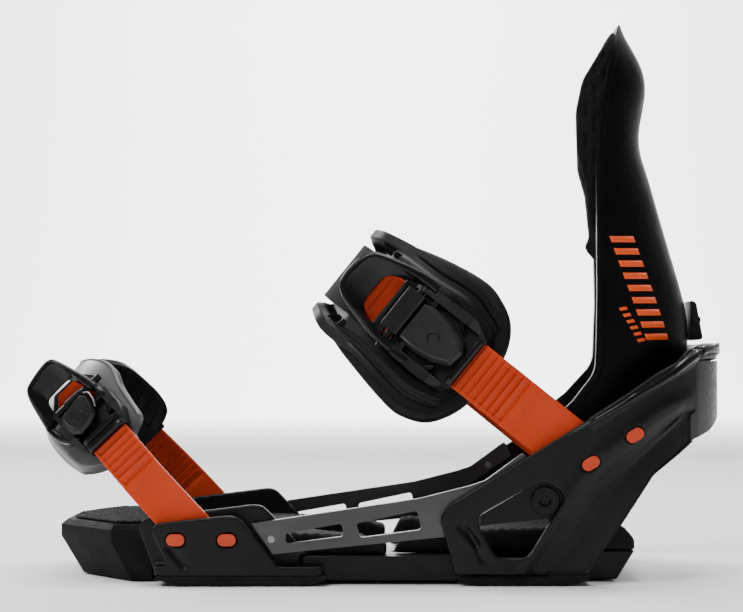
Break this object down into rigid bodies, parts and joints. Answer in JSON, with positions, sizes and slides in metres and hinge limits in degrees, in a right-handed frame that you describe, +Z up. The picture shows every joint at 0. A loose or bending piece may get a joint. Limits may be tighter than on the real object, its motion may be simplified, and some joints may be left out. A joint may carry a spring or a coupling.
{
  "type": "strap snowboard binding",
  "caption": "Left snowboard strap binding: disc-mounted base, metal side rails, heelcup, folding highback, ankle and toe straps with ratchet buckles.",
  "frame": {"origin": "centre of the mounting disc on the board's surface", "axes": "+X towards the heel, +Y towards the inner side of the left foot, +Z up from the board"},
  "size_m": [0.3265, 0.134, 0.2604],
  "materials": {
    "black_nylon": "satin injection-moulded nylon",
    "black_gloss": "glossy moulded plastic",
    "rail_metal": "satin grey anodised forging",
    "cup_trim": "satin grey paint",
    "dark_steel": "blackened steel",
    "steel": "zinc-plated steel",
    "orange_plastic": "orange moulded strap plastic",
    "orange_button": "orange moulded plastic",
    "toe_cap_plastic": "satin grey flexible moulding",
    "eva_foam": "closed-cell foam",
    "footbed_rubber": "ribbed rubber",
    "pad_foam": "moulded soft foam",
    "buckle_metal": "black painted die-cast"
  },
  "bodies": {
    "base": {"centre_plate": "black_nylon", "front_base_pad": "eva_foam", "rear_base_pad": "eva_foam", "outer_side_rail": "rail_metal", "inner_side_rail": "rail_metal", "toe_frame": "black_nylon", "footbed_toe_pad": "footbed_rubber", "footbed_heel_pad": "footbed_rubber", "heel_riser": "black_nylon", "heel_base": "black_nylon", "heelcup": "black_nylon", "heel_bridge": "cup_trim", "ankle_anchor_pins": "steel", "toe_anchor_pins": "steel", "highback_pins": "steel", "heelcup_bolts": "dark_steel", "heelcup_nuts": "dark_steel", "frame_screws": "steel", "side_rail_screws": "steel", "heel_bridge_screws": "dark_steel"},
    "disc": {"mounting_disc": "black_gloss"},
    "toe_ramp": {"toe_ramp": "black_nylon", "toe_ramp_pad": "footbed_rubber"},
    "highback": {"highback_shell": "black_nylon", "highback_pad": "eva_foam"},
    "lean_block": {"lean_block": "black_nylon", "lean_screw": "dark_steel"},
    "ankle_strap": {"ankle_ladder_outer": "orange_plastic", "ankle_ladder_inner": "orange_plastic", "ankle_band": "black_nylon", "ankle_shell": "black_nylon", "ankle_pad": "pad_foam", "ankle_buckle_base": "buckle_metal", "ankle_buckle_axles": "steel", "ankle_drive_pawl": "black_nylon", "ankle_clamp": "black_nylon", "ankle_clamp_screw": "steel", "ankle_buckle_rivet": "steel"},
    "ankle_lever": {"ankle_lever": "buckle_metal"},
    "ankle_release": {"ankle_release_lever": "buckle_metal"},
    "toe_strap": {"toe_ladder_outer": "orange_plastic", "toe_ladder_inner": "orange_plastic", "toe_cap": "toe_cap_plastic", "toe_buckle_base": "buckle_metal", "toe_buckle_axles": "steel", "toe_drive_pawl": "black_nylon", "toe_clamp": "black_nylon", "toe_clamp_screw": "steel", "toe_buckle_rivet": "steel"},
    "toe_lever": {"toe_lever": "buckle_metal"},
    "toe_release": {"toe_release_lever": "buckle_metal"},
    "outer_toe_button_front": {"outer_toe_button_front": "orange_button"},
    "outer_toe_button_rear": {"outer_toe_button_rear": "orange_button"},
    "outer_ankle_button": {"outer_ankle_button": "orange_button"},
    "outer_highback_button": {"outer_highback_button": "orange_button"},
    "inner_toe_button_front": {"inner_toe_button_front": "orange_button"},
    "inner_toe_button_rear": {"inner_toe_button_rear": "orange_button"},
    "inner_ankle_button": {"inner_ankle_button": "orange_button"},
    "inner_highback_button": {"inner_highback_button": "orange_button"}
  },
  "joints": [
    {"name": "disc_turn", "type": "hinge", "parent": "base", "child": "disc", "pos_m": [0, 0, 0], "axis": [0, 0, 1], "range_deg": [-30, 30]},
    {"name": "toe_ramp_slide", "type": "slide", "parent": "base", "child": "toe_ramp", "axis": [-1, 0, 0], "range_m": [0, 0.008]},
    {"name": "highback_fold", "type": "hinge", "parent": "base", "child": "highback", "pos_m": [0.1181, 0, 0.0675], "axis": [0, -1, 0], "range_deg": [0, 26]},
    {"name": "lean_block_slide", "type": "slide", "parent": "highback", "child": "lean_block", "axis": [0, 0, 1], "range_m": [0, 0.008]},
    {"name": "ankle_strap_swing", "type": "hinge", "parent": "base", "child": "ankle_strap", "pos_m": [0.0983, 0, 0.0549], "axis": [0, -1, 0], "range_deg": [-16, 3]},
    {"name": "ankle_lever_open", "type": "hinge", "parent": "ankle_strap", "child": "ankle_lever", "pos_m": [0.01463, -0.04679, 0.12242], "axis": [0.628, 0, 0.7782], "range_deg": [0, 80], "stiffness_Nm_per_rad": 0.02, "springref_deg": -14.32},
    {"name": "ankle_release_lift", "type": "hinge", "parent": "ankle_strap", "child": "ankle_release", "pos_m": [0.02134, -0.04938, 0.117], "axis": [-0.628, 0, -0.7782], "range_deg": [0, 22], "stiffness_Nm_per_rad": 0.02, "springref_deg": -14.32},
    {"name": "toe_strap_swing", "type": "hinge", "parent": "base", "child": "toe_strap", "pos_m": [-0.0769, 0, 0.0201], "axis": [0, -1, 0], "range_deg": [-20, 0]},
    {"name": "toe_lever_open", "type": "hinge", "parent": "toe_strap", "child": "toe_lever", "pos_m": [-0.13662, -0.0431, 0.08325], "axis": [0.7266, 0, 0.6871], "range_deg": [0, 80], "stiffness_Nm_per_rad": 0.015, "springref_deg": -14.32},
    {"name": "toe_release_lift", "type": "hinge", "parent": "toe_strap", "child": "toe_release", "pos_m": [-0.13185, -0.04597, 0.07821], "axis": [-0.7266, 0, -0.6871], "range_deg": [0, 22], "stiffness_Nm_per_rad": 0.015, "springref_deg": -14.32},
    {"name": "outer_toe_button_front_press", "type": "slide", "parent": "base", "child": "outer_toe_button_front", "axis": [0, 1, 0], "range_m": [0, 0.0012], "stiffness_N_per_m": 3000, "springref_m": -0.0003},
    {"name": "outer_toe_button_rear_press", "type": "slide", "parent": "base", "child": "outer_toe_button_rear", "axis": [0, 1, 0], "range_m": [0, 0.0012], "stiffness_N_per_m": 3000, "springref_m": -0.0003},
    {"name": "outer_ankle_button_press", "type": "slide", "parent": "base", "child": "outer_ankle_button", "axis": [0, 1, 0], "range_m": [0, 0.0012], "stiffness_N_per_m": 3000, "springref_m": -0.0003},
    {"name": "outer_highback_button_press", "type": "slide", "parent": "base", "child": "outer_highback_button", "axis": [0, 1, 0], "range_m": [0, 0.0012], "stiffness_N_per_m": 3000, "springref_m": -0.0003},
    {"name": "inner_toe_button_front_press", "type": "slide", "parent": "base", "child": "inner_toe_button_front", "axis": [0, -1, 0], "range_m": [0, 0.0012], "stiffness_N_per_m": 3000, "springref_m": -0.0003},
    {"name": "inner_toe_button_rear_press", "type": "slide", "parent": "base", "child": "inner_toe_button_rear", "axis": [0, -1, 0], "range_m": [0, 0.0012], "stiffness_N_per_m": 3000, "springref_m": -0.0003},
    {"name": "inner_ankle_button_press", "type": "slide", "parent": "base", "child": "inner_ankle_button", "axis": [0, -1, 0], "range_m": [0, 0.0012], "stiffness_N_per_m": 3000, "springref_m": -0.0003},
    {"name": "inner_highback_button_press", "type": "slide", "parent": "base", "child": "inner_highback_button", "axis": [0, -1, 0], "range_m": [0, 0.0012], "stiffness_N_per_m": 3000, "springref_m": -0.0003}
  ]
}
